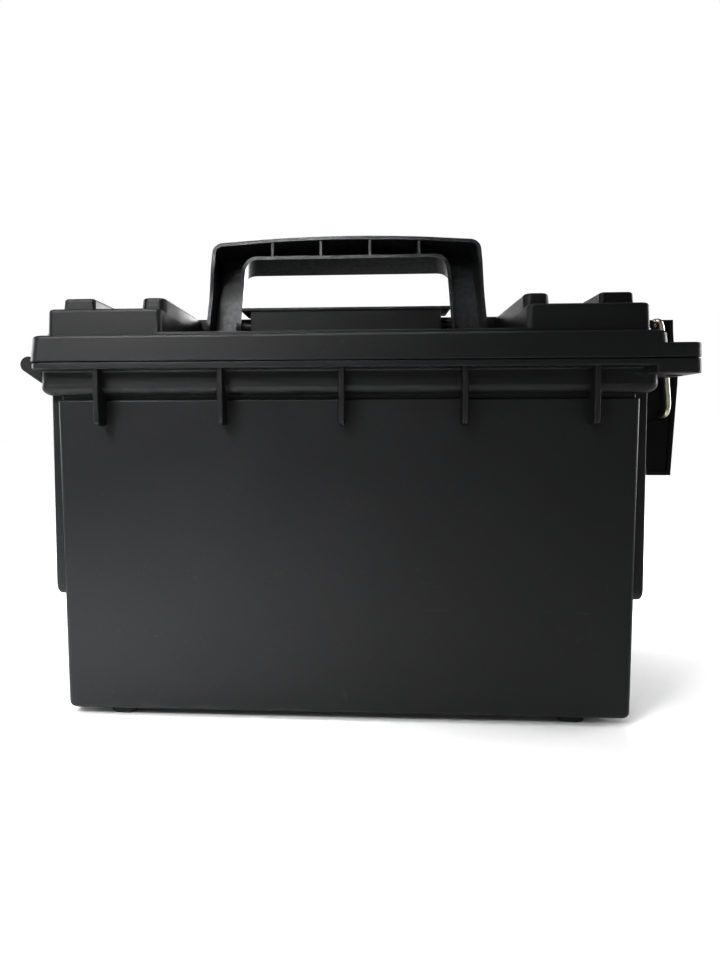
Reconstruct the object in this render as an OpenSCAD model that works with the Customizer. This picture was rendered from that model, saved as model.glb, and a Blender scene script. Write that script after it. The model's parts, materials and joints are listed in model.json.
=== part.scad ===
// Hard battery case: tapered tub, hinged lid with stacking ridges,
// folding carry handle, and a wire-bail latch with a channel lever.
// X runs from the hinge end to the latch end, Y across the case, Z up.
// The origin is on the floor under the middle of the overall box.

/* [Case] */
// Length of the lid, hinge end to latch end, without hinge and latch
case_l = 292; // [284:1:330]
// Width of the lid
case_w = 160; // [150:1:190]
// Height of the tub rim above the floor
rim_z = 170.3; // [140:0.1:240]
// Wall thickness of the tub
wall = 2.8; // [2.2:0.1:3.4]
// Draft of the end walls over the height of the tub
draft_x = 4.4; // [2:0.2:6]
// Draft of the long walls over the height of the tub
draft_y = 4.0; // [2:0.2:6]
// Height of the foot bars
foot_h = 3.5; // [2.5:0.1:5]

/* [Ribs and panels] */
// Distance of the inner rib pair from the middle of the long wall
rib_x1 = 56; // [40:1:70]
// Distance of the outer rib pair from the middle of the long wall
rib_x2 = 114.3; // [90:0.1:120]
// Thickness of the rim ribs
rib_t = 2.5; // [1.5:0.1:4]
// How far the end panels stand proud
panel_t = 4.8; // [2:0.1:5]

/* [Lid] */
// Height of the lid skirt
skirt_h = 12.3; // [10:0.1:16]
// Height of the end blocks above the skirt's lower edge
block_h = 25.5; // [22:0.1:28]
// Height of the stacking ridges above the end blocks
ridge_h = 6.3; // [3:0.1:8]
// Gap between the tub rim and the closed lid
gap = 0.3; // [0.3:0.05:0.6]

/* [Handle] */
// Width of the handle across its feet, at the pivot
handle_w = 154.8; // [152:0.2:156]
// Height of the grip's crown above the pivot
handle_h = 48.5; // [44:0.5:56]
// Wall thickness of the handle's channel
handle_t = 2; // [1.6:0.1:2.6]
// Backward lean of the handle against its stop
lean = 10; // [6:1:12]
// Radius of the handle pins
hpin_r = 2.5; // [2:0.1:3]

/* [Hinge and latch] */
// Radius of the hinge pin
pin_r = 1.6; // [1.2:0.1:1.8]
// Outer radius of the hinge knuckles
knuckle_r = 3.75; // [3.4:0.05:3.75]
// Radius of the bail wire
wire_r = 1.5; // [1.2:0.1:1.6]
// Distance between the bail's two legs
bail_w = 72; // [72:1:76]
// Radius of the padlock holes
lock_r = 4.25; // [3:0.05:5]
// Running clearance of pins and wire in their bores
fit = 0.05; // [0.02:0.01:0.1]

/* [Hidden] */
$fn = 48;

hx = case_l / 2;
hy = case_w / 2;

// tub heights and half sizes
flange_z = rim_z - 3.2;
band_z = rim_z - 15.5;
tx1 = hx - 8.8;
ty1 = hy - 13;
tx0 = tx1 - draft_x;
ty0 = ty1 - draft_y;

// lid heights
lid_z = rim_z + gap;
skirt_z = lid_z + skirt_h;
deck_z = skirt_z + 2.1;
block_z = lid_z + block_h;
ridge_z = block_z + ridge_h;
cross_z = ridge_z + 0.6;
plate_z = ridge_z + 3;
roof = 3;

// handle pivot
pivot_z = block_z + 0.9;
rest_y = 10;

// hinge axis
hinge_x = -hx - 5;
hinge_z = rim_z + 0.2;
hinge_y = 68;

// latch: where the bail turns in the tub, and the lever on the bail
bail_x = hx + 14.8;
bail_z = rim_z - 24.8;
bar_x = hx + 10.5;
bar_z = rim_z + 20.6;
lever_x = hx + 21.9;
lever_top = bar_z + 2.7;
lever_bot = rim_z - 54.9;
keep_z = skirt_z;
nose_r = bar_z - keep_z - 0.4;
bail_len = sqrt(pow(bar_x - bail_x, 2) + pow(bar_z - bail_z, 2));
bail_tilt = atan2(bar_x - bail_x, bar_z - bail_z);

// padlock tabs
tab_x = hx + 7.2;
tab_y = hy - 17.65;

// the case is placed so that the overall box is centred on the origin
shift = -(lever_x + hinge_x - knuckle_r) / 2;

function wx(z) = tx0 + (tx1 - tx0) * (z - foot_h) / (band_z - foot_h);
function wy(z) = ty0 + (ty1 - ty0) * (z - foot_h) / (band_z - foot_h);

// rounded rectangle from squares and circles
module rr(a, b, r) {
    square([a - 2 * r, b], center = true);
    square([a, b - 2 * r], center = true);
    for (i = [-1, 1], j = [-1, 1])
        translate([i * (a / 2 - r), j * (b / 2 - r)]) circle(r);
}

// extrude an X-Z outline from y0 to y1
module xz(y0, y1) {
    translate([0, y1, 0]) rotate([90, 0, 0]) linear_extrude(y1 - y0) children();
}

// extrude a Y-Z outline along X, centred
module yz(t) {
    rotate([90, 0, 90]) linear_extrude(t, center = true) children();
}

// round bar along Y
module ybar(x, z, r, y0, y1) {
    translate([x, y1, z]) rotate([90, 0, 0]) cylinder(r = r, h = y1 - y0);
}

module slab(z, a, b, r) {
    translate([0, 0, z]) linear_extrude(0.02) rr(a, b, r, $fn = 32);
}

// one rib under the rim, on the -Y side
module rib() {
    yz(rib_t) polygon([
        [-wy(band_z) + 2, flange_z + 1], [-hy + 2, flange_z + 1],
        [-hy + 3.6, rim_z - 27], [-hy + 4.6, rim_z - 28.8], [-hy + 6.4, rim_z - 29.5],
        [-wy(band_z) + 2, rim_z - 29.5]]);
}

module tub() color([0.07, 0.075, 0.08]) translate([shift, 0, 0]) difference() {
    union() {
        // tapered walls, rounded at the bottom
        hull() {
            slab(foot_h, 2 * (tx0 - 3), 2 * (ty0 - 3), 1.6);
            slab(foot_h + 0.9, 2 * (tx0 - 0.9), 2 * (ty0 - 0.9), 2.2);
            slab(foot_h + 3, 2 * tx0 + 0.1, 2 * ty0 + 0.1, 2.4);
            slab(band_z + 1, 2 * tx1, 2 * ty1, 2.4);
        }
        // bevelled lower edge of the band, the band, and the rim flange
        hull() {
            slab(band_z + 0.4, 2 * (tx1 + 0.6), 2 * (ty1 + 0.6), 3);
            slab(band_z + 3.2, 2 * (hx - 2.2), 2 * (hy - 8), 4.5);
        }
        translate([0, 0, band_z + 3.1]) linear_extrude(flange_z - band_z - 2.6) rr(2 * (hx - 2.2), 2 * (hy - 8), 4.5);
        translate([0, 0, flange_z]) linear_extrude(rim_z - flange_z) rr(2 * (hx - 0.4), 2 * (hy - 0.3), 5.5);
        // ribs under the rim, on both long walls
        for (m = [0, 1]) mirror([0, m, 0])
            for (x = [-rib_x2, -rib_x1, 0, rib_x1, rib_x2]) translate([x, 0, 0]) rib();
        // raised panels on both end walls
        for (m = [0, 1]) mirror([m, 0, 0]) xz(-62, 62) polygon([
            [tx0 - 1, rim_z - 112], [wx(rim_z - 112) + panel_t - 1, rim_z - 112],
            [wx(rim_z - 111) + panel_t, rim_z - 111], [tx1 + panel_t, band_z + 2], [tx0 - 1, band_z + 2]]);
        // foot bars across the case, and the shallow rims between them
        for (s = [-1, 1]) {
            translate([s * (hx - 38), 0, 0]) linear_extrude(foot_h + 0.5) rr(12.5, 116, 3);
            translate([0, s * (ty0 - 9), foot_h - 1.7]) linear_extrude(2.2) square([2 * (hx - 44), 6], center = true);
        }
        // hinge lugs
        for (y = [[-hinge_y, -54], [-9, 9], [54, hinge_y]]) xz(y[0], y[1]) {
            translate([hinge_x, hinge_z]) circle(knuckle_r);
            polygon([[hinge_x, rim_z], [-hx + 3, rim_z], [-hx + 3, rim_z - 9.8],
                     [hinge_x - 1.6, hinge_z - 3.3], [hinge_x - 3, hinge_z - 2]]);
        }
        // padlock tabs
        for (s = [-1, 1]) translate([hx + 1.75, s * tab_y, rim_z - 6.7]) linear_extrude(6.7) rr(23.5, 34.7, 4);
        // lugs that carry the ends of the bail
        for (s = [-1, 1]) xz(s * 25 - 3, s * 25 + 3) {
            translate([bail_x, bail_z]) circle(2.8);
            polygon([[tx1 - 1, bail_z + 5], [bail_x + 0.4, bail_z + 2.7], [bail_x + 0.4, bail_z - 2.7], [tx1 - 1, bail_z - 9]]);
        }
    }
    // inside of the tub
    hull() {
        slab(foot_h + wall + 0.4, 2 * (tx0 - wall - 1.5), 2 * (ty0 - wall - 1.5), 3);
        slab(foot_h + wall + 2, 2 * (tx0 - wall), 2 * (ty0 - wall), 3.5);
        slab(rim_z + 1, 2 * (tx1 - wall + 0.3), 2 * (ty1 - wall + 0.3), 3.5);
    }
    // bores for the hinge pin, the padlocks and the bail ends
    ybar(hinge_x, hinge_z, pin_r + fit, -hinge_y + 1.5, hinge_y - 1.5);
    for (s = [-1, 1]) {
        translate([tab_x, s * tab_y, rim_z - 8]) cylinder(r = lock_r, h = 10);
        ybar(bail_x, bail_z, wire_r + fit, s * 25 - 4, s * 25 + 4);
    }
}

// stacking ridge along Y, on top of an end block
module ridge(w) {
    xz(-hy + 15, hy - 15) polygon([
        [-w - 2, -0.5], [-w - 2, 0], [-w - 0.6, 0.6], [-w, 2], [-w + 0.5, ridge_h - 1.6], [-w + 2, ridge_h],
        [w - 2, ridge_h], [w - 0.5, ridge_h - 1.6], [w, 2], [w + 0.6, 0.6], [w + 2, 0], [w + 2, -0.5]]);
}

// the inner ridge stands flush with the inner side of its end block
module inner_ridge(w) {
    xz(-hy + 15, hy - 15) polygon([
        [-w, -0.5], [-w, ridge_h - 1.6], [-w + 1.6, ridge_h],
        [w - 2, ridge_h], [w - 0.5, ridge_h - 1.6], [w, 2], [w + 0.6, 0.6], [w + 2, 0], [w + 2, -0.5]]);
}

module lid() color([0.075, 0.08, 0.085]) translate([shift, 0, 0]) difference() {
    union() {
        // skirt with a softened top edge, and the low deck
        translate([0, 0, lid_z]) linear_extrude(skirt_h - 1.5) rr(2 * hx, 2 * hy, 5.5);
        hull() {
            slab(skirt_z - 1.52, 2 * hx, 2 * hy, 5.5);
            slab(skirt_z - 0.45, 2 * (hx - 0.45), 2 * (hy - 0.45), 5);
            slab(skirt_z - 0.02, 2 * (hx - 1.5), 2 * (hy - 1.5), 4.2);
        }
        translate([0, 0, lid_z + 9]) linear_extrude(deck_z - lid_z - 9) rr(2 * (hx - 5.5), 2 * (hy - 7), 4);
        // end blocks and the rear plateau that joins them
        for (s = [-1, 1]) translate([s * (hx - 33.5), 0, lid_z + 9])
            linear_extrude(block_z - lid_z - 9) rr(56, 2 * (hy - 7), 3);
        translate([-hx + 58, rest_y, lid_z + 9]) cube([2 * (hx - 58), hy - 7 - rest_y, block_z - lid_z - 9]);
        // stacking ridges
        for (s = [-1, 1]) {
            translate([s * (hx - 19.3), 0, block_z]) ridge(7.7);
            translate([s * (hx - 55.05), 0, block_z]) mirror([s < 0 ? 1 : 0, 0, 0]) inner_ridge(6.45);
        }
        // cross ridge, the stop that the handle leans on
        yz(2 * (hx - 54)) polygon([
            [rest_y, block_z - 2], [rest_y, cross_z - 1.6], [rest_y + 1.6, cross_z],
            [rest_y + 10.4, cross_z], [rest_y + 12, cross_z - 1.6], [rest_y + 12, block_z - 2]]);
        // block between the handle's legs, with its top plate
        translate([-52, -13, deck_z - 1]) cube([104, rest_y + 14, plate_z - deck_z]);
        translate([-57.2, -13.8, plate_z - 1.8]) cube([114.4, rest_y + 14.8, 1.8]);
        // hinge knuckles
        for (m = [0, 1]) mirror([0, m, 0]) xz(9.4, 53.6) {
            translate([hinge_x, hinge_z]) circle(knuckle_r);
            polygon([[hinge_x, lid_z], [-hx + 1, lid_z], [-hx + 1, lid_z + 6], [hinge_x + 2, lid_z + 3.1], [hinge_x, lid_z + 3.3]]);
        }
        // padlock tabs
        for (s = [-1, 1]) translate([hx + 1.75, s * tab_y, lid_z]) linear_extrude(6.6) rr(23.5, 34.7, 4);
        // keeper ledge for the latch
        translate([hx - 2, -29.5, keep_z - 5]) cube([16, 59, 5]);
    }
    // hollow underside
    translate([0, 0, lid_z - 1]) linear_extrude(deck_z - roof - lid_z + 1) rr(2 * (hx - 11.5), 2 * (hy - 12.5), 4);
    for (s = [-1, 1]) translate([s * (hx - 33.75), 0, lid_z]) linear_extrude(block_z - roof - lid_z) rr(44.5, 2 * (hy - 12.5), 3);
    translate([-hx + 55, rest_y + 3, lid_z]) cube([2 * (hx - 55), hy - 15.5 - rest_y, block_z - roof - lid_z]);
    translate([-36, -10, lid_z]) cube([72, rest_y + 7, plate_z - roof - lid_z]);
    // groove for the seal
    translate([0, 0, lid_z - 1]) linear_extrude(4.4) difference() {
        rr(2 * (hx - 3.8), 2 * (hy - 5.7), 6);
        rr(2 * (hx - 8.4), 2 * (hy - 10.3), 3);
    }
    // bores for the hinge pin, the padlocks and the handle pins
    ybar(hinge_x, hinge_z, pin_r + fit, -hinge_y, hinge_y);
    for (s = [-1, 1]) {
        translate([tab_x, s * tab_y, lid_z - 1]) cylinder(r = lock_r, h = 12);
        translate([s * 46.5, 0, pivot_z]) rotate([0, 90, 0]) cylinder(r = hpin_r + 0.02, h = 11.4, center = true);
    }
}

module lid_seal() color([0.03, 0.03, 0.03]) translate([shift, 0, lid_z - 0.2]) linear_extrude(3.6) difference() {
    rr(2 * (hx - 4.1), 2 * (hy - 6), 5.7);
    rr(2 * (hx - 8.1), 2 * (hy - 10), 3.3);
}

module hinge_pin() color([0.7, 0.7, 0.68]) translate([shift, 0, 0])
    ybar(hinge_x, hinge_z, pin_r, -hinge_y + 1.7, hinge_y - 1.7);

// handle outline in its own upright frame, pivot at the origin, d = inset
hw0 = handle_w / 2;
hw1 = hw0 - 2.2;
function hw(z) = hw0 - 2.2 * z / (handle_h - 3.5);
function outline(d) = concat(
    [[hw(-9) - d, -9 + d]],
    [for (a = [0 : 15 : 90]) [hw1 - 5.5 + (6 - d) * cos(a), handle_h - 9 + (6 - d) * sin(a)]],
    [for (i = [9 : -1 : -9]) let (x = i * (hw1 - 6.5) / 10) [x, handle_h - 3.1 * pow(x / (hw1 - 5.5), 2) - d]],
    [for (a = [90 : 15 : 180]) [-hw1 + 5.5 + (6 - d) * cos(a), handle_h - 9 + (6 - d) * sin(a)]],
    [[-hw(-9) + d, -9 + d]]);
// the opening under the grip, d = growth of its edge
ow0 = hw0 - 17.6;
ow1 = ow0 - 1.2;
oz = handle_h - 13.3;
function opening(d) = concat(
    [[ow0 + 0.7 + d, -20]],
    [for (a = [0 : 15 : 90]) [ow1 - 7 + (7 + d) * cos(a), oz - 7 + (7 + d) * sin(a)]],
    [for (a = [90 : 15 : 180]) [-ow1 + 7 + (7 + d) * cos(a), oz - 7 + (7 + d) * sin(a)]],
    [[-ow0 - 0.7 - d, -20]]);

module carry_handle() color([0.06, 0.065, 0.075]) translate([shift, 0, pivot_z]) rotate([-lean, 0, 0]) difference() {
    intersection() {
        xz(-13, 13) difference() { polygon(outline(0)); polygon(opening(0)); }
        yz(200) polygon(concat([for (a = [180 : 10 : 360]) [8 * cos(a), 8 * sin(a)]],
            [[8, 16], [12, 32], [12, 60], [-12, 60], [-12, 32], [-8, 16]]));
    }
    // the channel, open to the front, with ribs across the grip
    difference() {
        intersection() {
            xz(-14, 14) difference() { polygon(outline(handle_t)); polygon(opening(handle_t)); }
            yz(200) polygon(concat([[-30, -5.8]], [for (a = [270 : 10 : 360]) [5.8 * cos(a), 5.8 * sin(a)]],
                [[5.8, 16.5], [9.8, 32.5], [9.8, 60], [-30, 60]]));
        }
        for (x = [-41, -13.7, 13.7, 41]) translate([x, 0, oz + 6]) cube([1.7, 40, 30], center = true);
    }
    // bores for the two handle pins
    for (s = [-1, 1]) translate([s * 60, 0, 0]) rotate([0, 90, 0]) cylinder(r = hpin_r + fit, h = 10, center = true);
}

module handle_pin(s) color([0.62, 0.62, 0.62]) translate([shift + s * 51.5, 0, pivot_z])
    rotate([0, 90, 0]) cylinder(r = hpin_r, h = 21, center = true);
module handle_pin_left() handle_pin(-1);
module handle_pin_right() handle_pin(1);

// bent wire: its plane leans from the tub lugs to the lever's pivot
module latch_bail() color([0.78, 0.76, 0.7]) translate([shift + bail_x, 0, bail_z]) rotate([0, bail_tilt, 0]) {
    R = 2.8;
    ybar(0, bail_len, wire_r, -bail_w / 2 + R, bail_w / 2 - R);
    for (m = [0, 1]) mirror([0, m, 0]) {
        ybar(0, 0, wire_r, 21, bail_w / 2 - R);
        translate([0, bail_w / 2, R]) cylinder(r = wire_r, h = bail_len - 2 * R);
        translate([0, bail_w / 2 - R, bail_len - R]) rotate([90, 0, 90]) rotate_extrude(angle = 90) translate([R, 0]) circle(wire_r);
        translate([0, bail_w / 2 - R, R]) rotate([0, 90, 0]) rotate_extrude(angle = 90) translate([R, 0]) circle(wire_r);
    }
}

// side outline of the lever
lever_out = [[lever_x - 2.2, lever_top], [lever_x - 2.1, lever_top - 10.5], [lever_x, rim_z - 4.9], [lever_x - 3.8, lever_bot]];
module latch_lever() color([0.065, 0.07, 0.075]) translate([shift, 0, 0]) difference() {
    union() {
        // two side walls with an open notch for the bail's bent ends
        for (s = [-1, 1]) xz(s * 32 - 1, s * 32 + 1) difference() {
            polygon(concat([[bar_x - 6.5, lever_top]], lever_out, [[hx + 7, lever_bot], [bar_x - 6.5, rim_z - 35]]));
            translate([hx, bail_z - 2.3]) square([bail_x - hx, 4.6]);
            translate([bail_x, bail_z]) circle(2.3);
        }
        // outer wall, end wall and top
        xz(-32, 32) polygon(concat(lever_out, [[lever_x - 6, lever_bot], [lever_x - 2.3, rim_z - 4.9], [lever_x - 4.3, lever_top - 10.5], [lever_x - 4.4, lever_top]]));
        xz(-32, 32) translate([hx + 7, lever_bot]) square([11, 2]);
        xz(-32, 32) translate([bar_x, bar_z - 1]) square([lever_x - 3 - bar_x, lever_top - bar_z + 1]);
        // barrel on the bail's top bar, and the nose that bears on the keeper
        xz(-32, 32) intersection() {
            translate([bar_x, bar_z]) circle(3.6);
            translate([bar_x - 6, bar_z - 6]) square([14, 6 + lever_top - bar_z]);
        }
        xz(-26, 26) intersection() {
            translate([bar_x, bar_z]) circle(nose_r);
            translate([bar_x - 3, bar_z - 9]) square([lever_x - 3 - bar_x, 9]);
        }
    }
    ybar(bar_x, bar_z, wire_r + fit, -40, 40);
}

tub();
lid();
lid_seal();
hinge_pin();
carry_handle();
handle_pin_left();
handle_pin_right();
latch_bail();
latch_lever();
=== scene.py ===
import json
import math
import bpy
import bmesh
from mathutils import Vector, Matrix


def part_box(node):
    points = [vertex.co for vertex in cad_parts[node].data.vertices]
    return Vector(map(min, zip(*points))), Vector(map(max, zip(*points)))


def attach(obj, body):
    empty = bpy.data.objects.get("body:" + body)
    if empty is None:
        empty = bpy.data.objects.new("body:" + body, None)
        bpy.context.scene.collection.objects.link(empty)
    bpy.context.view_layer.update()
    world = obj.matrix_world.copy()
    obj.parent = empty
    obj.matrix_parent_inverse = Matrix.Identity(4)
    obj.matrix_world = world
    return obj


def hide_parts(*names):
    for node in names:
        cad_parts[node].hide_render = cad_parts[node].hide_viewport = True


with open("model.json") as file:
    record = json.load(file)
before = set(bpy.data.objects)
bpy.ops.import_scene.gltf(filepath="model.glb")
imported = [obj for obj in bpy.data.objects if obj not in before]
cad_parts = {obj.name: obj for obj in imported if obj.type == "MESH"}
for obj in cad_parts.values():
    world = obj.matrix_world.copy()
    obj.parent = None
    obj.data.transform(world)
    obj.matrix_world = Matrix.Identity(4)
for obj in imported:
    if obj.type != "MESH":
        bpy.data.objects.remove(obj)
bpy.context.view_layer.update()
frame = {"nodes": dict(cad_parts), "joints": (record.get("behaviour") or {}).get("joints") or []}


JOINT = {j["name"]: j for j in frame["joints"]}


def joint_mm(name):
    return [1000 * v for v in JOINT[name]["pos_m"]]


# ------------------------------------------------------------------ numbers, mm
# The pieces are drawn about the middle of the tub, and SH moves them into the row's frame.
LID_BOX = [[1000 * v for v in c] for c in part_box("lid_seal")]
SH = (LID_BOX[0][0] + LID_BOX[1][0]) / 2
HX, HY = 146.0, 80.0
RIM = joint_mm("lid_hinge")[2] - 0.2
LZ = RIM + 0.3
SKIRT = LZ + 12.3
DECK = SKIRT + 2.1
BLOCK = LZ + 25.5
RIDGE = BLOCK + 6.3
CROSS = RIDGE + 0.6
PLATE = RIDGE + 3.0
PIV = joint_mm("handle_pivot")[2]
FOOT = 3.5
BAND = RIM - 15.5
FLANGE = RIM - 3.2
TX1, TY1 = HX - 8.8, HY - 13.0
TX0, TY0 = TX1 - 3.8, TY1 - 4.0
HINGE_X, HINGE_Z = -HX - 5.0, RIM + 0.2
BAIL_X, BAIL_Z = joint_mm("bail_pivot")[0] - SH, joint_mm("bail_pivot")[2]
BAR_X, BAR_Z = joint_mm("lever_pivot")[0] - SH, joint_mm("lever_pivot")[2]
LEVER_X = HX + 21.9
LEVER_TOP, LEVER_BOT = BAR_Z + 2.7, RIM - 54.9
TAB_Y = HY - 17.65
LEAN = math.radians(10)


def tx(z):
    return TX0 + (TX1 - TX0) * (z - FOOT) / (BAND - FOOT)


def ty(z):
    return TY0 + (TY1 - TY0) * (z - FOOT) / (BAND - FOOT)


# ------------------------------------------------------------------ mesh helpers
def make(name, verts, faces):
    me = bpy.data.meshes.new(name)
    me.from_pydata([(v[0], v[1], v[2]) for v in verts], [], faces)
    me.validate()
    ob = bpy.data.objects.new(name, me)
    bpy.context.collection.objects.link(ob)
    bm = bmesh.new()
    bm.from_mesh(me)
    bmesh.ops.remove_doubles(bm, verts=bm.verts, dist=1e-4)
    bmesh.ops.recalc_face_normals(bm, faces=bm.faces)
    bm.to_mesh(me)
    bm.free()
    return ob


def settle(ob):
    """Applies the object's modifiers to its mesh."""
    dg = bpy.context.evaluated_depsgraph_get()
    me = bpy.data.meshes.new_from_object(ob.evaluated_get(dg))
    old = ob.data
    ob.modifiers.clear()
    ob.data = me
    bpy.data.meshes.remove(old)
    return ob


def drop(ob):
    me = ob.data
    bpy.data.objects.remove(ob)
    if me.users == 0:
        bpy.data.meshes.remove(me)


def bevel(ob, width, seg=3, angle=35):
    m = ob.modifiers.new("b", "BEVEL")
    m.width = width
    m.segments = seg
    m.limit_method = "ANGLE"
    m.angle_limit = math.radians(angle)
    m.use_clamp_overlap = True
    m.miter_outer = "MITER_ARC" if seg > 2 else "MITER_SHARP"
    return settle(ob)


def boolean(ob, others, op, keep=False):
    for o in others:
        m = ob.modifiers.new("x", "BOOLEAN")
        m.operation = op
        m.solver = "MANIFOLD"
        m.object = o
    settle(ob)
    if not keep:
        for o in others:
            drop(o)
    return ob


def union(name, parts):
    base = parts[0]
    boolean(base, parts[1:], "UNION")
    base.name = name
    base.data.name = name
    return base


def area2(p):
    return sum(p[i][0] * p[(i + 1) % len(p)][1] - p[(i + 1) % len(p)][0] * p[i][1] for i in range(len(p)))


def prism(name, pts, a, b, place):
    """A straight extrusion of a 2D outline from a to b. place(u, v, w) gives the point."""
    n = len(pts)
    v = [place(p[0], p[1], a) for p in pts] + [place(p[0], p[1], b) for p in pts]
    f = [list(range(n - 1, -1, -1)), list(range(n, 2 * n))]
    f += [[i, (i + 1) % n, n + (i + 1) % n, n + i] for i in range(n)]
    return make(name, v, f)


def prism_xz(pts, y0, y1, name="p"):
    return prism(name, pts, y0, y1, lambda u, v, w: (u, w, v))


def prism_yz(pts, x0, x1, name="p"):
    return prism(name, pts, x0, x1, lambda u, v, w: (w, u, v))


def prism_xy(pts, z0, z1, name="p"):
    return prism(name, pts, z0, z1, lambda u, v, w: (u, v, w))


def arc(cx, cy, r, a0, a1, n):
    return [(cx + r * math.cos(math.radians(a0 + (a1 - a0) * i / n)),
             cy + r * math.sin(math.radians(a0 + (a1 - a0) * i / n))) for i in range(n + 1)]


def rrect(a, b, r, n=8, cx=0.0, cy=0.0):
    """Rounded rectangle of half sizes a, b, counter-clockwise."""
    r = max(r, 0.05)
    out = []
    for sx, sy, a0 in ((1, 1, 0), (-1, 1, 90), (-1, -1, 180), (1, -1, 270)):
        out += arc(cx + sx * (a - r), cy + sy * (b - r), r, a0, a0 + 90, n)
    return out


def loft(name, rings, close=False):
    """rings: lists of 3D points of one length. Capped at both ends unless it closes on itself."""
    n = len(rings[0])
    v = [p for ring in rings for p in ring]
    f = []
    k = len(rings)
    for i in range(k if close else k - 1):
        j = (i + 1) % k
        f += [[i * n + s, i * n + (s + 1) % n, j * n + (s + 1) % n, j * n + s] for s in range(n)]
    if not close:
        f += [list(range(n - 1, -1, -1)), list(range((k - 1) * n, k * n))]
    return make(name, v, f)


def stack(name, rows, n=8, cx=0.0, cy=0.0):
    """rows: (half x, half y, corner radius, z)."""
    return loft(name, [[(x, y, z) for x, y in rrect(a, b, r, n, cx, cy)] for a, b, r, z in rows])


def rod(x, y, z, r, length, axis="y", n=40, name="rod"):
    pts = arc(0, 0, r, 0, 360 - 360 / n, n - 1)
    h = length / 2
    if axis == "y":
        return prism(name, pts, y - h, y + h, lambda u, v, w: (x + u, w, z + v))
    if axis == "x":
        return prism(name, pts, x - h, x + h, lambda u, v, w: (w, y + u, z + v))
    return prism(name, pts, z - h, z + h, lambda u, v, w: (x + u, y + v, w))


def block(x0, x1, y0, y1, z0, z1, w=0.8, seg=3, name="blk"):
    return bevel(prism_xy([(x0, y0), (x1, y0), (x1, y1), (x0, y1)], z0, z1, name), w, seg)


def quarter(a, b, r, z, rad, n, up=True, out=False):
    """Rows that round an edge of a stack: from the side wall (a, b) over to its top; up, for rounding from its bottom,
    is not used.
    """
    rows = []
    for i in range(n + 1):
        t = math.radians(90 * i / n)
        ins = rad * (1 - math.cos(t))
        dz = rad * math.sin(t)
        rows.append((a - ins, b - ins, r - ins * 0.6, z + dz))
    return rows


def into_row(ob):
    """From mm about the tub's middle to metres in the row's frame."""
    M = Matrix.Diagonal((0.001, 0.001, 0.001, 1.0)) @ Matrix.Translation((SH, 0, 0))
    ob.data.transform(M)
    ob.data.update()
    return ob


def finish_mesh(ob, angle=32, edge=0.0, seg=2, edge_angle=38):
    """Tidies a solid, rounds its remaining sharp edges, and smooths it by angle."""
    bm = bmesh.new()
    bm.from_mesh(ob.data)
    bmesh.ops.remove_doubles(bm, verts=bm.verts, dist=2e-3)
    bmesh.ops.dissolve_limit(bm, angle_limit=math.radians(0.6), verts=bm.verts, edges=bm.edges)
    bmesh.ops.recalc_face_normals(bm, faces=bm.faces)
    bm.to_mesh(ob.data)
    bm.free()
    if edge:
        bevel(ob, edge, seg, edge_angle)
    for p in ob.data.polygons:
        p.use_smooth = True
    ob.data.set_sharp_from_angle(angle=math.radians(angle))
    m = ob.modifiers.new("normals", "WEIGHTED_NORMAL")
    m.keep_sharp = True
    m.weight = 60
    settle(ob)
    return into_row(ob)


# ------------------------------------------------------------------ tub
def lug_outline():
    p = arc(HINGE_X, HINGE_Z, 3.75, -4, 238, 22)
    return p + [(-HX + 3.4, RIM - 10.0), (-HX + 3.4, RIM - 0.1), (HINGE_X + 3.9, RIM - 0.1)]


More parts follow.
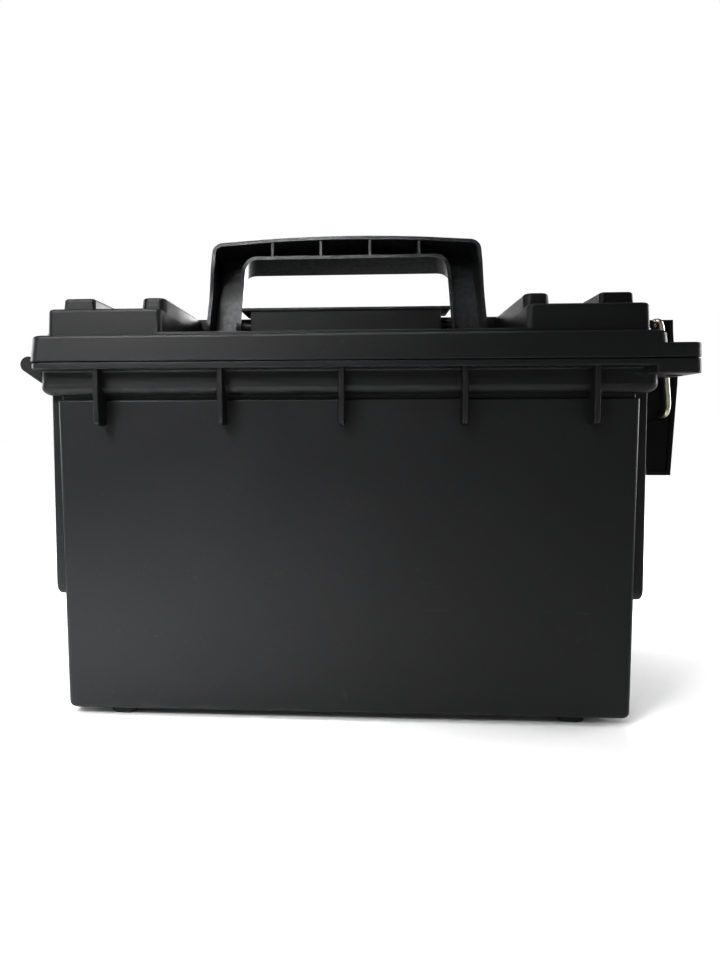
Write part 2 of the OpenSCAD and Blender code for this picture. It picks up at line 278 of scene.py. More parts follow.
def tub_rows():
    R = 3.4
    rows = []
    for i in range(6):
        t = math.radians(90 * i / 5)
        ins = R * (1 - math.sin(t))
        rows.append((TX0 - ins, TY0 - ins, 2.6 - 0.35 * ins, FOOT + R * (1 - math.cos(t))))
    top = BAND - 2.4
    for z in (40.0, 80.0, 120.0, top):
        rows.append((tx(z), ty(z), 2.4, z))
    # rounded top edge of the wall panel, a groove, and the band's underside
    for i in range(1, 5):
        t = math.radians(90 * i / 4)
        ins = 1.0 * (1 - math.cos(t))
        rows.append((TX1 - ins, TY1 - ins, 2.4 - 0.7 * ins, top + 1.0 * math.sin(t)))
    rows += [(TX1 - 1.6, TY1 - 1.6, 1.5, top + 1.03), (TX1 - 1.6, TY1 - 1.6, 1.5, BAND + 0.5)]
    top = BAND - 1.1
    A, B = HX - 2.2, HY - 8.0
    for i in range(7):
        t = math.radians(90 * i / 6)
        rows.append((A - 4.4 * (1 - math.sin(t)), B - 4.4 * (1 - math.sin(t)), 4.4 - 1.2 * (1 - math.sin(t)),
                     top + 1.7 + 4.0 * (1 - math.cos(t))))
    # the rolled lower edge stands a little proud of the band above it
    rows += [(A, B, 4.4, top + 6.0), (A - 0.03, B - 0.03, 4.4, top + 6.5), (A - 0.08, B - 0.08, 4.4, top + 7.5)]
    rows.append((A - 0.08, B - 0.08, 4.4, FLANGE - 1.2))
    for i in range(1, 5):
        t = math.radians(90 * i / 4)
        rows.append((A - 0.08 + 1.2 * (1 - math.cos(t)), B - 0.08 + 1.2 * (1 - math.cos(t)), 4.5, FLANGE - 1.2 + 1.2 * math.sin(t)))
    F, G = HX - 0.4, HY - 0.3
    for i in range(5):
        t = math.radians(90 * i / 4)
        rows.append((F - 0.9 * (1 - math.sin(t)), G - 0.9 * (1 - math.sin(t)), 5.5 - 0.5 * (1 - math.sin(t)),
                     FLANGE + 0.05 + 0.9 * (1 - math.cos(t))))
    for i in range(5):
        t = math.radians(90 * i / 4)
        rows.append((F - 0.7 * (1 - math.cos(t)), G - 0.7 * (1 - math.cos(t)), 5.5 - 0.5 * (1 - math.cos(t)),
                     RIM - 0.7 + 0.7 * math.sin(t)))
    # over the rim and down the inside
    a, b = TX1 - 2.5, TY1 - 2.5
    for i in range(4):
        t = math.radians(90 * i / 3)
        rows.append((a + 0.8 * (1 - math.sin(t)), b + 0.8 * (1 - math.sin(t)), 3.9, RIM - 0.8 * (1 - math.cos(t))))
    for i in range(5):
        t = math.radians(90 * i / 4)
        rows.append((TX0 - 2.8 - 3.0 * (1 - math.cos(t)), TY0 - 2.8 - 3.0 * (1 - math.cos(t)), 3.6 - 0.8 * (1 - math.cos(t)),
                     FOOT + 6.2 - 3.0 * math.sin(t)))
    return rows


def tab(side, z0, z1, edge):
    y0, y1, x1 = HY - 35.0, HY - 0.35, HX + 13.5
    o = arc(x1 - 4, y1 - 4, 4, 90, 0, 6) + arc(x1 - 4, y0 + 4, 4, 0, -90, 6) + [(HX - 10, y0), (HX - 12, HY - 10), (HX - 9.9, HY - 8), (HX - 6.4, y1)]
    o = [(p[0], side * p[1]) for p in o]
    return bevel(prism_xy(o, z0, z1, "tab"), edge, 3, 50)


def build_tub():
    parts = [stack("tub", tub_rows(), n=9)]
    # ribs under the rim
    for s in (-1, 1):
        for x in (-114.3, -56.0, 0.0, 56.0, 114.3):
            o = [(-TY1 + 2.5, FLANGE + 1.0), (-HY + 2.0, FLANGE + 1.0), (-HY + 2.2, FLANGE - 8),
                 (-HY + 3.5, RIM - 26.6)]
            o += arc(-HY + 5.9, RIM - 26.9, 2.4, 186, 262, 6)
            o += [(-HY + 9.0, RIM - 29.5), (-TY1 + 2.5, RIM - 29.0)]
            o = [(s * -p[0], p[1]) for p in o]
            r = bevel(prism_yz(o, x - 1.3, x + 1.3), 0.5, 3, 40)
            parts.append(r)
    # end panels
    for s in (-1, 1):
        z0 = RIM - 112.0
        o = [(62, BAND + 2), (-62, BAND + 2)] + arc(-56, z0 + 6, 6, 180, 270, 8) + arc(56, z0 + 6, 6, 270, 360, 8)
        n = len(o)
        v = [(s * (tx(q[1]) - 2.5), q[0], q[1]) for q in o] + [(s * (tx(q[1]) + 4.8), q[0], q[1]) for q in o]
        f = [list(range(n - 1, -1, -1)), list(range(n, 2 * n))] + [[i, (i + 1) % n, n + (i + 1) % n, n + i] for i in range(n)]
        parts.append(bevel(make("panel", v, f), 1.1, 3, 50))
    # feet
    for s in (-1, 1):
        rows = [(6.25 - 1.2 * (1 - math.sin(math.radians(22.5 * i))), 58 - 1.2 * (1 - math.sin(math.radians(22.5 * i))), 3.0,
                 1.2 * (1 - math.cos(math.radians(22.5 * i)))) for i in range(5)] + [(6.25, 58, 3.0, FOOT + 1)]
        parts.append(stack("foot", rows, 6, s * (HX - 38), 0))
        parts.append(block(-(HX - 43), HX - 43, s * (TY0 - 9) - 3, s * (TY0 - 9) + 3, FOOT - 1.7, FOOT + 1, 0.7))
    # hinge lugs
    for y0, y1 in ((-68, -54), (-9, 9), (54, 68)):
        parts.append(bevel(prism_xz(lug_outline(), y0, y1), 0.55, 3, 50))
    # padlock tabs, flush with the rim's long sides
    for s in (-1, 1):
        parts.append(tab(s, RIM - 6.7, RIM - 0.02, 0.8))
    # lugs for the bail's ends
    for s in (-1, 1):
        o = arc(BAIL_X, BAIL_Z, 2.8, -80, 80, 14) + [(TX1 - 1, BAIL_Z + 5), (TX1 - 1, BAIL_Z - 9)]
        parts.append(bevel(prism_xz(o, s * 25 - 3, s * 25 + 3), 0.4, 2, 50))
    tub = union("tub_moulding", parts)
    cut = [rod(HINGE_X, 0, HINGE_Z, 1.66, 133)]
    for s in (-1, 1):
        cut.append(rod(HX + 7.2, s * TAB_Y, RIM - 3, 4.25, 12, "z"))
        cut.append(rod(BAIL_X, s * 25, BAIL_Z, 1.56, 8))
    boolean(tub, cut, "DIFFERENCE")
    return finish_mesh(tub)


# ------------------------------------------------------------------ lid
def ridge_outline(w, h, c, z, front=True):
    """Cross-section of a stacking ridge about c: filleted roots and rounded top edges."""
    r = [(c + w + 4.3, z - 0.8)] + [(c + x, z + y) for x, y in arc(w + 4.3, 4.3, 4.3, 270, 185, 6)]
    r += [(c + x, z + y) for x, y in arc(w - 2.0 - 0.1, h - 2.0, 2.0, 0, 90, 6)]
    l = [(2 * c - x, y) for x, y in reversed(r)]
    return r + l


def build_lid():
    R = 1.6
    D = 0.9
    rows = [(HX - 0.6, HY - 0.6, 5.4, LZ)]
    for i in range(4):
        t = math.radians(90 * i / 3)
        rows.append((HX - 0.6 * (1 - math.sin(t)), HY - 0.6 * (1 - math.sin(t)), 5.6, LZ + 0.6 * (1 - math.cos(t)) + 0.001))
    for i in range(6):
        t = math.radians(90 * i / 5)
        rows.append((HX - D - R * (1 - math.cos(t)), HY - D / 2 - R * (1 - math.cos(t)), 5.6 - 0.6 * (1 - math.cos(t)), SKIRT - R + R * math.sin(t)))
    a, b = HX - 5.5, HY - 7.0
    for i in range(4):
        t = math.radians(90 * i / 3)
        rows.append((a + 0.8 * (1 - math.sin(t)), b + 0.8 * (1 - math.sin(t)), 4.6, SKIRT + 0.8 * (1 - math.cos(t))))
    for i in range(1, 5):
        t = math.radians(90 * i / 4)
        rows.append((a - 0.8 * (1 - math.cos(t)), b - 0.8 * (1 - math.cos(t)), 4.4, DECK - 0.8 + 0.8 * math.sin(t)))
    parts = [stack("lid", rows, n=9)]
    # end blocks
    for s in (-1, 1):
        rr = [(27.6, HY - 6.9, 2.8, LZ + 9), (27.45, HY - 7.0, 2.8, DECK)]
        for i in range(7):
            t = math.radians(90 * i / 6)
            rr.append((27.3 - 1.6 * (1 - math.cos(t)), HY - 7.15 - 1.6 * (1 - math.cos(t)), 2.8 - 0.6 * (1 - math.cos(t)), BLOCK - 1.6 + 1.6 * math.sin(t)))
        parts.append(stack("eb", rr, 7, s * (HX - 34.1), 0))
    # rear plateau
    rr = [(92, 31.5, 3, LZ + 9)]
    for i in range(7):
        t = math.radians(90 * i / 6)
        rr.append((92 - 2.6 * (1 - math.cos(t)), 31.35 - 2.6 * (1 - math.cos(t)), 3.6 - 1.0 * (1 - math.cos(t)), BLOCK - 2.6 + 2.6 * math.sin(t)))
    parts.append(stack("rp", rr, 6, 0, 41.5))
    # stacking ridges
    for s in (-1, 1):
        for c, w in ((HX - 18.9, 8.1), (HX - 55.2, 6.2)):
            q = 1.8 if c > HX - 30 else 3.4
            rr = [(w + 0.9, HY - 14.2, q, BLOCK - 1.7), (w + 0.1, HY - 14.9, q, BLOCK - 0.02), (w - 0.2, HY - 15.2, q, BLOCK + 0.8)] if q < 2 else [(w, HY - 15.0, q, BLOCK - 2.4)]
            for i in range(6):
                t = math.radians(90 * i / 5)
                rr.append((w - 0.5 - 1.5 * (1 - math.cos(t)), HY - 15.4 - 1.5 * (1 - math.cos(t)), q - 0.8 * (1 - math.cos(t)), BLOCK + 6.3 - 1.5 + 1.5 * math.sin(t)))
            parts.append(stack("ridge", rr, 7, s * c, 0))
    # cross ridge
    o = [(10.0, BLOCK - 4), (22.0 + 4.3, BLOCK - 4)] + arc(22.0 + 4.3, BLOCK + 4.3, 4.3, 270, 185, 6)
    o += arc(20.0, CROSS - 2.0, 2.0, 0, 90, 6) + arc(12.0, CROSS - 2.0, 2.0, 90, 180, 6)
    parts.append(prism_yz(o, -(HX - 54), HX - 54, "cross"))
    # block between the handle's legs
    parts.append(block(-52, 52, -13, 12, DECK - 1, PLATE - 0.9, 0.7))
    parts.append(block(-57.2, 57.2, -13.8, 12, PLATE - 1.8, PLATE, 0.55))
    # hinge knuckles
    for s in (-1, 1):
        o = arc(HINGE_X, HINGE_Z, 3.75, 62, 358, 26) + [(HINGE_X + 3.9, LZ + 0.02), (-HX + 1, LZ + 0.02), (-HX + 1, LZ + 7.0)]
        o += [(-HX - 0.1, LZ + 6.6), (-HX - 1.2, LZ + 5.2), (-HX - 2.2, LZ + 4.1)]
        y0, y1 = (9.4, 53.6) if s > 0 else (-53.6, -9.4)
        parts.append(bevel(prism_xz(o, y0, y1), 0.55, 3, 50))
    # padlock tabs
    for s in (-1, 1):
        parts.append(tab(s, LZ + 0.02, LZ + 6.6, 0.9))
    # keeper ledge with two gussets under it
    parts.append(block(HX - 2, HX + 14, -29.5, 29.5, SKIRT - 5, SKIRT, 0.7))
    for y in (-20, 20):
        parts.append(bevel(prism_xz([(HX - 1, SKIRT - 4.5), (HX + 10, SKIRT - 4.5), (HX - 1, LZ + 1)], y - 1.2, y + 1.2), 0.3, 2, 40))
    # moulding gate mark
    parts.append(bevel(rod(0.4, -HY + 0.4, LZ + 8.2, 0.9, 0.7, "y", 16), 0.15, 2, 50))
    lid = union("lid_moulding", parts)
    cut = []
    rb = lambda a, b, z0, z1, cx=0.0, cy=0.0: stack("c", [(a, b, 4, z0), (a, b, 4, z1 - 1.5), (a - 0.45, b - 0.45, 3.8, z1 - 0.45), (a - 1.5, b - 1.5, 3.2, z1)], 6, cx, cy)
    cut.append(rb(HX - 11.5, HY - 12.5, LZ - 2, DECK - 3))
    for s in (-1, 1):
        cut.append(rb(22.25, HY - 12.5, LZ - 1.5, BLOCK - 3, s * (HX - 33.75), 0))
    cut.append(rb(HX - 55, 27.25, LZ - 1, BLOCK - 3, 0, 40.25))
    cut.append(rb(36, 8.5, LZ - 1.2, PLATE - 3, 0, -1.5))
    for c in cut[1:]:
        boolean(cut[0], [c], "UNION")
    cut = [cut[0]]
    g = stack("g", [(HX - 3.8, HY - 5.7, 6, LZ - 1), (HX - 3.8, HY - 5.7, 6, LZ + 3.4)], 8)
    boolean(g, [stack("g2", [(HX - 8.4, HY - 10.3, 3, LZ - 2), (HX - 8.4, HY - 10.3, 3, LZ + 5)], 8)], "DIFFERENCE")
    cut.append(g)
    cut.append(rod(HINGE_X, 0, HINGE_Z, 1.66, 137))
    for s in (-1, 1):
        cut.append(rod(HX + 7.2, s * TAB_Y, LZ + 4, 4.25, 12, "z"))
        cut.append(rod(s * 46.5, 0, PIV, 2.52, 11.4, "x"))
    boolean(lid, cut, "DIFFERENCE")
    return finish_mesh(lid)


# ------------------------------------------------------------------ handle
H = 48.5
HW0, HW1 = 77.4, 74.5
CROWN = 3.1


def hw(z):
    return HW0 - 2.9 * z / (H - 3.5)


def outline(d, n=7):
    top = [(x, H - CROWN * (x / (HW1 - 5.5)) ** 2 - d) for x in [i * (HW1 - 6.5) / 10 for i in range(9, -10, -1)]]
    return ([(hw(-9) - d, -9 + d)] + arc(HW1 - 5.5, H - CROWN - 5.9, 6 - d, 0, 88, n) + top
            + arc(-HW1 + 5.5, H - CROWN - 5.9, 6 - d, 92, 180, n) + [(-hw(-9) + d, -9 + d)])


OW0, OZ = HW0 - 17.6, H - 13.3
OW1 = OW0 - 1.6


def opening(d, n=7):
    return ([(OW0 + 0.7 + d, -20)] + arc(OW1 - 7, OZ - 7, 7 + d, 0, 90, n)
            + arc(-OW1 + 7, OZ - 7, 7 + d, 90, 180, n) + [(-OW0 - 0.7 - d, -20)])


def build_handle():
    T = 2.0
    body = prism_xz(outline(0), -13, 13, "body")
    boolean(body, [prism_xz(opening(0), -20, 20)], "DIFFERENCE")
    side = arc(0, 0, 8, 180, 360, 14) + [(8, 14), (8.3, 17), (9.0, 21), (10.2, 26), (11.3, 30), (11.9, 34), (12, 38), (12, 60),
                                        (-12, 60), (-12, 38), (-11.9, 34), (-11.3, 30), (-10.2, 26), (-9.0, 21), (-8.3, 17), (-8, 14)]
    boolean(body, [prism_yz(side, -100, 100)], "INTERSECT")
    pocket = prism_xz(outline(T), -14, 14, "pocket")
    boolean(pocket, [prism_xz(opening(T), -20, 20)], "DIFFERENCE")
    pside = [(-30, -5.8)] + arc(0, 0, 5.8, 270, 360, 8) + [(5.8, 14), (6.1, 17), (6.8, 21), (8.0, 26), (9.1, 30), (9.7, 34), (9.8, 38), (9.8, 60), (-30, 60)]
    boolean(pocket, [prism_yz(pside, -101, 101)], "INTERSECT")
    ribs = [bevel(prism_yz([(-11.2, OZ - 4), (20, OZ - 4), (20, OZ + 20), (-11.2, OZ + 20)], x - 0.85, x + 0.85), 0.3, 2) for x in (-41, -13.7, 13.7, 41)]
    boolean(pocket, ribs, "DIFFERENCE")
    boolean(body, [pocket], "DIFFERENCE")
    boolean(body, [rod(s * 60, 0, 0, 2.56, 10, "x") for s in (-1, 1)], "DIFFERENCE")
    # shallow round marks on the web, left by the mould's ejectors
    marks = []
    for x, z, y in ((-66.5, 1.0, 5.8), (66.5, 1.0, 5.8), (-62.0, 37.5, 9.75), (62.0, 37.5, 9.75), (-27, 41.6, 9.8), (0, 42.0, 9.8), (27, 41.6, 9.8)):
        m = rod(x, y, z, 3.3, 0.9, "y", 32)
        boolean(m, [rod(x, y, z, 2.9, 2.0, "y", 32)], "DIFFERENCE")
        marks.append(m)
    boolean(body, marks, "DIFFERENCE")
    bm = bmesh.new()
    bm.from_mesh(body.data)
    bmesh.ops.dissolve_limit(bm, angle_limit=math.radians(0.6), verts=bm.verts, edges=bm.edges)
    bm.to_mesh(body.data)
    bm.free()
    # the inner walls spread towards the back, as the mould's draft leaves them
    for v in body.data.vertices:
        k = min(max((abs(v.co.x) - 40.0) / 14.0, 0.0), 1.0) * min(max((74.0 - abs(v.co.x)) / 7.0, 0.0), 1.0)
        k *= min(max((H - 6.0 - v.co.z) / 8.0, 0.0), 1.0)
        v.co.x += (1 if v.co.x > 0 else -1) * k * 2.2 * v.co.y / 12.0
    body.data.transform(Matrix.Translation((0, 0, PIV)) @ Matrix.Rotation(-LEAN, 4, "X"))
    body.name = "handle_moulding"
    return finish_mesh(body, edge=0.42, seg=2, edge_angle=42)


# ------------------------------------------------------------------ latch
def sweep(name, path, r, n=14):
    """A round wire along a path of 3D points, with flat ends."""
    P = [Vector(p) for p in path]
    rings = []
    up = None
    for i, p in enumerate(P):
        t = (P[min(i + 1, len(P) - 1)] - P[max(i - 1, 0)]).normalized()
        if up is None:
            up = t.orthogonal().normalized()
        up = (up - t * up.dot(t)).normalized()
        side = t.cross(up)
        rings.append([tuple(p + r * (math.cos(2 * math.pi * k / n) * up + math.sin(2 * math.pi * k / n) * side)) for k in range(n)])
    return loft(name, rings)


def filleted(points, radii, n=8):
    """A polyline whose inner corners are rounded with curves of the given sizes."""
    P = [Vector(p) for p in points]
    out = [P[0]]
    for i in range(1, len(P) - 1):
        r = radii[i - 1]
        a = P[i] + (P[i - 1] - P[i]).normalized() * r
        b = P[i] + (P[i + 1] - P[i]).normalized() * r
        for k in range(n + 1):
            t = k / n
            out.append((1 - t) ** 2 * a + 2 * t * (1 - t) * P[i] + t * t * b)
    out.append(P[-1])
    return out


def build_bail():
    half = [(BAIL_X, -21, BAIL_Z), (BAIL_X, -36, BAIL_Z), (BAIL_X + 1.0, -36, BAIL_Z + 5.0), (BAR_X + 3.4, -36, BAR_Z - 8.5), (BAR_X + 1.3, -36.2, BAR_Z + 2.4), (BAR_X - 0.5, -34.9, BAR_Z + 1.6), (BAR_X, -32.6, BAR_Z), (BAR_X, -30, BAR_Z)]
    pts = half + [(x, -y, z) for x, y, z in reversed(half)]
    path = filleted(pts, [3.4, 1.5, 3.5, 2.6, 1.0, 0.9, 0.05, 0.05, 0.9, 1.0, 2.6, 3.5, 1.5, 3.4])
    wire = sweep("bail_wire", path, 1.5, 18)
    bevel(wire, 0.45, 2, 60)
    wire.name = "bail_wire"
    return finish_mesh(wire, 40)


def build_lever():
    X, Zt, Zb = LEVER_X, LEVER_TOP, LEVER_BOT
    outer = [(X - 2.2, Zt), (X - 2.15, Zt - 6), (X - 1.9, Zt - 10.5), (X - 0.9, RIM + 4), (X - 0.2, RIM - 2), (X, RIM - 5.5), (X - 0.15, RIM - 9), (X - 3.8, Zb)]
    parts = []
    for s in (-1, 1):
        o = [(BAR_X - 6.5, Zt)] + [(BAR_X - 6.5, Zt)] * 0 + [(p[0], p[1]) for p in outer] + [(HX + 7, Zb), (BAR_X - 6.5, RIM - 35)]
        w = prism_xz(o, s * 32 - 1, s * 32 + 1)
        notch = [(HX, BAIL_Z - 2.3), (BAIL_X, BAIL_Z - 2.3)] + arc(BAIL_X, BAIL_Z, 2.3, -80, 80, 12) + [(BAIL_X, BAIL_Z + 2.3), (HX, BAIL_Z + 2.3)]
        boolean(w, [prism_xz(notch, s * 32 - 4, s * 32 + 4)], "DIFFERENCE")
        # sunk face, which leaves a rim round the cheek
        face = [(BAR_X - 4.9, Zt - 1.8)] + [(p[0] - 1.9, max(p[1], Zb + 1.9) if i else Zt - 1.8) for i, p in enumerate(outer)] + [(HX + 8.6, Zb + 1.9), (BAR_X - 4.9, RIM - 34)]
        y0, y1 = (s * 33 - 0.8, s * 33 + 0.8)
        boolean(w, [prism_xz(face, y0, y1)], "DIFFERENCE")
        parts.append(w)
    inner = [(p[0] - 2.2, p[1]) for p in reversed(outer)]
    parts.append(prism_xz(outer + inner, -32, 32))
    parts.append(prism_xz([(HX + 7, Zb), (X - 4.5, Zb), (X - 4.5, Zb + 2), (HX + 7, Zb + 2)], -32, 32))
    parts.append(prism_xz([(BAR_X, BAR_Z - 1), (X - 3, BAR_Z - 1), (X - 3, Zt), (BAR_X, Zt)], -32, 32))
    barrel = rod(BAR_X, 0, BAR_Z, 3.6, 64, "y", 40)
    boolean(barrel, [prism_xz([(BAR_X - 6, BAR_Z - 6), (BAR_X + 8, BAR_Z - 6), (BAR_X + 8, Zt), (BAR_X - 6, Zt)], -40, 40)], "INTERSECT")
    parts.append(barrel)
    nr = BAR_Z - SKIRT - 0.4
    nose = rod(BAR_X, 0, BAR_Z, nr, 52, "y", 56)
    boolean(nose, [prism_xz([(BAR_X - 3, BAR_Z - 9), (X - 3, BAR_Z - 9), (X - 3, BAR_Z), (BAR_X - 3, BAR_Z)], -40, 40)], "INTERSECT")
    parts.append(nose)
    # stiffening ribs inside the channel, above and below the lugs
    for z, g in ((RIM - 40, 3.6), (RIM - 8, 1.2)):
        parts.append(prism_xz([(X - 3.6 - g, z), (X - g, z), (X - g, z + 1.6), (X - 3.6 - g, z + 1.6)], -32, 32))
    lever = union("lever_moulding", parts)
    boolean(lever, [rod(BAR_X, 0, BAR_Z, 1.56, 80)], "DIFFERENCE")
    return finish_mesh(lever, edge=0.55, seg=3, edge_angle=45)


# ------------------------------------------------------------------ seal
def build_seal():
    rings = []
    n = 16
    cz = LZ + 1.6
    for k in range(n):
        t = 2 * math.pi * k / n
        d = 1.95 * math.cos(t)
        z = cz + 1.75 * math.sin(t)
        rings.append([(x, y, z) for x, y in rrect(HX - 6.1 + d, HY - 8.0 + d, 4.5 + d, 8)])
    return finish_mesh(loft("seal_ring", rings, close=True), 60)


tub = build_tub()
lid = build_lid()
handle = build_handle()
bail = build_bail()
lever = build_lever()
seal = build_seal()


# ------------------------------------------------------------------ materials
def nodes_of(mat):
    mat.use_nodes = True
    nt = mat.node_tree
    bsdf = nt.nodes["Principled BSDF"]
    return nt, bsdf


def noise(nt, coord, scale, detail=2.0, rough=0.5, dist=0.0, vec_scale=None):
    n = nt.nodes.new("ShaderNodeTexNoise")
    n.inputs["Scale"].default_value = scale
    n.inputs["Detail"].default_value = detail
    n.inputs["Roughness"].default_value = rough
    n.inputs["Distortion"].default_value = dist
    if vec_scale:
        mp = nt.nodes.new("ShaderNodeMapping")
        mp.inputs["Scale"].default_value = vec_scale
        nt.links.new(coord, mp.inputs["Vector"])
        coord = mp.outputs["Vector"]
    nt.links.new(coord, n.inputs["Vector"])
    return n.outputs["Fac"]


def ramp(nt, fac, lo, hi, a, b):
    r = nt.nodes.new("ShaderNodeMapRange")
    r.inputs["From Min"].default_value = lo
    r.inputs["From Max"].default_value = hi
    r.inputs["To Min"].default_value = a
    r.inputs["To Max"].default_value = b
    nt.links.new(fac, r.inputs["Value"])
    return r.outputs["Result"]


def math_node(nt, op, a, b):
    m = nt.nodes.new("ShaderNodeMath")
    m.operation = op
    for i, v in enumerate((a, b)):
        if isinstance(v, (int, float)):
            m.inputs[i].default_value = v
        else:
            nt.links.new(v, m.inputs[i])
    return m.outputs[0]


def plastic(name, base, rough, grain=0.5, wear=0.35, dust=0.3, scratches=0.4, gloss=0.5, underside_shade=None):
    """Moulded black plastic: a fine spark texture, cloudy sheen, faint scratches, dust specks and paler worn edges,
    and, when asked, painted shade on faces that look down.
    """
    mat = bpy.data.materials.new(name)
    nt, bsdf = nodes_of(mat)
    coord = nt.nodes.new("ShaderNodeTexCoord").outputs["Object"]
    cloud = noise(nt, coord, 22, 3, 0.55)
    fine = noise(nt, coord, 1900, 2, 0.6)
    mid = noise(nt, coord, 420, 3, 0.6)
    # two families of long faint scratches
    sc1 = noise(nt, coord, 1.0, 3, 0.55, 0.8, (330, 330, 26))
    sc2 = noise(nt, coord, 1.0, 2, 0.5, 1.2, (40, 300, 420))
    s1 = ramp(nt, sc1, 0.70, 0.745, 0, 1)
    s2 = ramp(nt, sc2, 0.715, 0.75, 0, 1)
    gate = ramp(nt, noise(nt, coord, 9, 1, 0.5), 0.48, 0.62, 0, 1)
    scr = math_node(nt, "MULTIPLY", math_node(nt, "MAXIMUM", s1, s2), gate)
    speck = ramp(nt, noise(nt, coord, 1150, 0, 0.5), 0.80, 0.84, 0, 1)
    # pale edges where the plastic is rubbed
    geo = nt.nodes.new("ShaderNodeNewGeometry")
    edge = ramp(nt, geo.outputs["Pointiness"], 0.53, 0.62, 0, 1)
    edge = math_node(nt, "MULTIPLY", edge, ramp(nt, mid, 0.35, 0.65, 0.25, 1))
    pale = math_node(nt, "ADD", math_node(nt, "MULTIPLY", edge, wear),
                     math_node(nt, "ADD", math_node(nt, "MULTIPLY", speck, dust), math_node(nt, "MULTIPLY", scr, scratches)))
    pale = math_node(nt, "MINIMUM", pale, 1.0)
    tone = nt.nodes.new("ShaderNodeMix")
    tone.data_type = "RGBA"
    tone.inputs[6].default_value = (base[0] * 0.82, base[1] * 0.82, base[2] * 0.82, 1)
    tone.inputs[7].default_value = (base[0] * 1.2, base[1] * 1.2, base[2] * 1.2, 1)
    nt.links.new(cloud, tone.inputs[0])
    mix = nt.nodes.new("ShaderNodeMix")
    mix.data_type = "RGBA"
    nt.links.new(pale, mix.inputs[0])
    nt.links.new(tone.outputs[2], mix.inputs[6])
    mix.inputs[7].default_value = (0.13, 0.134, 0.142, 1)
    nt.links.new(mix.outputs[2], bsdf.inputs["Base Color"])
    r = math_node(nt, "ADD", ramp(nt, cloud, 0.3, 0.7, rough - 0.04, rough + 0.05), ramp(nt, fine, 0.3, 0.7, -0.03, 0.03))
    r = math_node(nt, "ADD", r, math_node(nt, "MULTIPLY", scr, -0.08))
    nt.links.new(r, bsdf.inputs["Roughness"])
    bsdf.inputs["Specular IOR Level"].default_value = gloss
    if underside_shade is not None:
        # painted shade: faces that look down get a lower specular level, so their undersides read darker than the rest
        xyz = nt.nodes.new("ShaderNodeSeparateXYZ")
        nt.links.new(nt.nodes.new("ShaderNodeTexCoord").outputs["Normal"], xyz.inputs[0])
        nt.links.new(ramp(nt, xyz.outputs[2], -0.85, -0.55, underside_shade, gloss), bsdf.inputs["Specular IOR Level"])
    bsdf.inputs["IOR"].default_value = 1.49
    height = math_node(nt, "ADD", math_node(nt, "MULTIPLY", fine, 0.6), math_node(nt, "MULTIPLY", mid, 1.3))
    height = math_node(nt, "SUBTRACT", height, math_node(nt, "MULTIPLY", scr, 0.5))
    bump = nt.nodes.new("ShaderNodeBump")
    bump.inputs["Strength"].default_value = grain
    bump.inputs["Distance"].default_value = 0.00006
    nt.links.new(height, bump.inputs["Height"])
    nt.links.new(bump.outputs["Normal"], bsdf.inputs["Normal"])
    return mat


def steel(name, base, rough, stretch=(900, 60, 900)):
    mat = bpy.data.materials.new(name)
    nt, bsdf = nodes_of(mat)
    coord = nt.nodes.new("ShaderNodeTexCoord").outputs["Object"]
    draw = noise(nt, coord, 1.0, 3, 0.6, 0.0, stretch)
    tarnish = noise(nt, coord, 160, 3, 0.6)
    mix = nt.nodes.new("ShaderNodeMix")
    mix.data_type = "RGBA"
    nt.links.new(ramp(nt, tarnish, 0.35, 0.75, 0, 0.8), mix.inputs[0])
    mix.inputs[6].default_value = (*base, 1)
    mix.inputs[7].default_value = (base[0] * 0.62, base[1] * 0.58, base[2] * 0.5, 1)
    nt.links.new(mix.outputs[2], bsdf.inputs["Base Color"])
    bsdf.inputs["Metallic"].default_value = 1.0
    nt.links.new(ramp(nt, draw, 0.3, 0.7, rough - 0.08, rough + 0.12), bsdf.inputs["Roughness"])
    bump = nt.nodes.new("ShaderNodeBump")
    bump.inputs["Strength"].default_value = 0.35
    bump.inputs["Distance"].default_value = 0.00003
    nt.links.new(draw, bump.inputs["Height"])
    nt.links.new(bump.outputs["Normal"], bsdf.inputs["Normal"])
    return mat


def rubber(name):
    mat = bpy.data.materials.new(name)
    nt, bsdf = nodes_of(mat)
    coord = nt.nodes.new("ShaderNodeTexCoord").outputs["Object"]
    cloud = noise(nt, coord, 60, 3, 0.6)
    fine = noise(nt, coord, 1500, 2, 0.6)
    mix = nt.nodes.new("ShaderNodeMix")
    mix.data_type = "RGBA"
    nt.links.new(ramp(nt, cloud, 0.35, 0.7, 0, 1), mix.inputs[0])
    mix.inputs[6].default_value = (0.016, 0.016, 0.016, 1)
    mix.inputs[7].default_value = (0.035, 0.035, 0.036, 1)
    nt.links.new(mix.outputs[2], bsdf.inputs["Base Color"])
    nt.links.new(ramp(nt, cloud, 0.3, 0.7, 0.72, 0.88), bsdf.inputs["Roughness"])
    bump = nt.nodes.new("ShaderNodeBump")
    bump.inputs["Strength"].default_value = 0.4
    bump.inputs["Distance"].default_value = 0.00005
    nt.links.new(fine, bump.inputs["Height"])
    nt.links.new(bump.outputs["Normal"], bsdf.inputs["Normal"])
    return mat


M_TUB = plastic("tub_black", (0.0120, 0.0126, 0.0138), 0.44, 0.60, 0.30, 0.14, 0.10)
M_LID = plastic("lid_black", (0.0124, 0.0130, 0.0140), 0.45, 0.70, 0.34, 0.22, 0.10)
M_HANDLE = plastic("handle_black", (0.0105, 0.0118, 0.0140), 0.38, 0.12, 0.30, 0.12, 0.10, underside_shade=0.04)
# painted shade: the lever's black is about a quarter as bright as the tub's, with a lower specular level, to stand in
# for the shade the lever sits in
M_LEVER_SHADED = plastic("lever_black_painted_shade", (0.0032, 0.0034, 0.0038), 0.46, 0.30, 0.10, 0.03, 0.04, 0.30)
M_WIRE = steel("bail_steel", (0.80, 0.76, 0.67), 0.42, (300, 40, 300))
M_PIN = steel("pin_steel", (0.10, 0.10, 0.105), 0.40)
M_RUB = rubber("seal_rubber_black")


